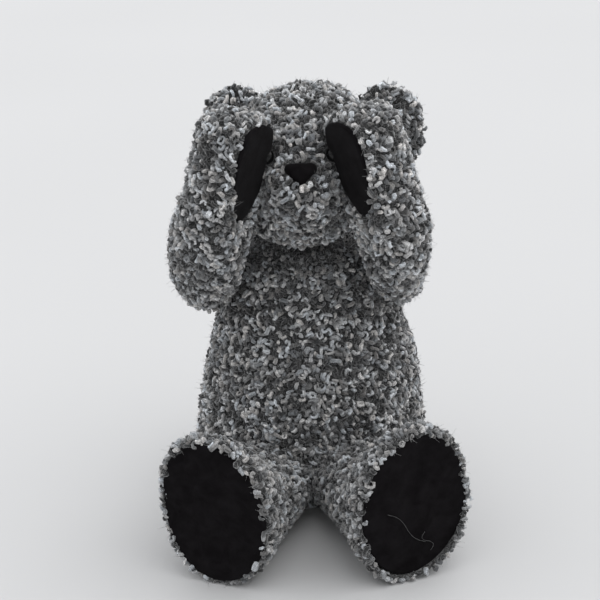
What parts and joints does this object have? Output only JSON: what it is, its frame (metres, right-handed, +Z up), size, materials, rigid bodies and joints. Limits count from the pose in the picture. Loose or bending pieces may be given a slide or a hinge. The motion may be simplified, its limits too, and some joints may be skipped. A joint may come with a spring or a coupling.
{
  "type": "bear glove puppet",
  "caption": "Seated plush bear glove puppet with jointed arms held over its eyes, velvet pads and soles, and a lined hand opening in its base",
  "frame": {"origin": "on the ground, in the middle of the flat seat, just in front of the hand opening", "axes": "+Z up through the head, the bear faces -Y, its left side is +X"},
  "size_m": [0.1936, 0.2103, 0.2832],
  "materials": {
    "boucle_knit": "matte",
    "black_velvet": "matte",
    "wadding": "matte",
    "satin_lining": "satin",
    "binding_tape": "matte",
    "card": "matte",
    "nylon": "satin",
    "eye_plastic": "gloss"
  },
  "bodies": {
    "torso": {"body_cover": "boucle_knit", "body_wadding": "wadding", "hand_lining": "satin_lining", "hem_binding": "binding_tape", "shoulder_washer_left": "nylon", "shoulder_washer_right": "nylon"},
    "head": {"head_cover": "boucle_knit", "head_stuffing": "wadding", "finger_tube": "card", "muzzle_cover": "boucle_knit", "muzzle_stuffing": "wadding", "nose": "black_velvet", "eye_left": "eye_plastic", "eye_right": "eye_plastic", "eye_washer_left": "nylon", "eye_washer_right": "nylon", "ear_left": "boucle_knit", "ear_right": "boucle_knit"},
    "arm_left": {"arm_cover_left": "boucle_knit", "arm_stuffing_left": "wadding", "paw_pad_left": "black_velvet", "shoulder_disc_left": "nylon", "shoulder_lock_left": "nylon"},
    "arm_right": {"arm_cover_right": "boucle_knit", "arm_stuffing_right": "wadding", "paw_pad_right": "black_velvet", "shoulder_disc_right": "nylon", "shoulder_lock_right": "nylon"},
    "leg_left": {"leg_cover_left": "boucle_knit", "leg_stuffing_left": "wadding", "sole_board_left": "card", "sole_pad_left": "black_velvet"},
    "leg_right": {"leg_cover_right": "boucle_knit", "leg_stuffing_right": "wadding", "sole_board_right": "card", "sole_pad_right": "black_velvet"}
  },
  "joints": [
    {"name": "arm_left_swing", "type": "hinge", "parent": "torso", "child": "arm_left", "pos_m": [0.0483, 0.0315, 0.15], "axis": [0.9613, 0, 0.2756], "range_deg": [0, 75]},
    {"name": "arm_right_swing", "type": "hinge", "parent": "torso", "child": "arm_right", "pos_m": [-0.0483, 0.0315, 0.15], "axis": [0.9613, 0, -0.2756], "range_deg": [0, 75]},
    {"name": "head_nod", "type": "hinge", "parent": "torso", "child": "head", "pos_m": [0, 0.0395, 0.184], "axis": [-1, 0, 0], "range_deg": [0, 12]},
    {"name": "leg_left_swing", "type": "hinge", "parent": "torso", "child": "leg_left", "pos_m": [0, -0.0185, 0.003], "axis": [1, 0, 0], "range_deg": [0, 80]},
    {"name": "leg_right_swing", "type": "hinge", "parent": "torso", "child": "leg_right", "pos_m": [0, -0.0185, 0.003], "axis": [1, 0, 0], "range_deg": [0, 80]}
  ]
}
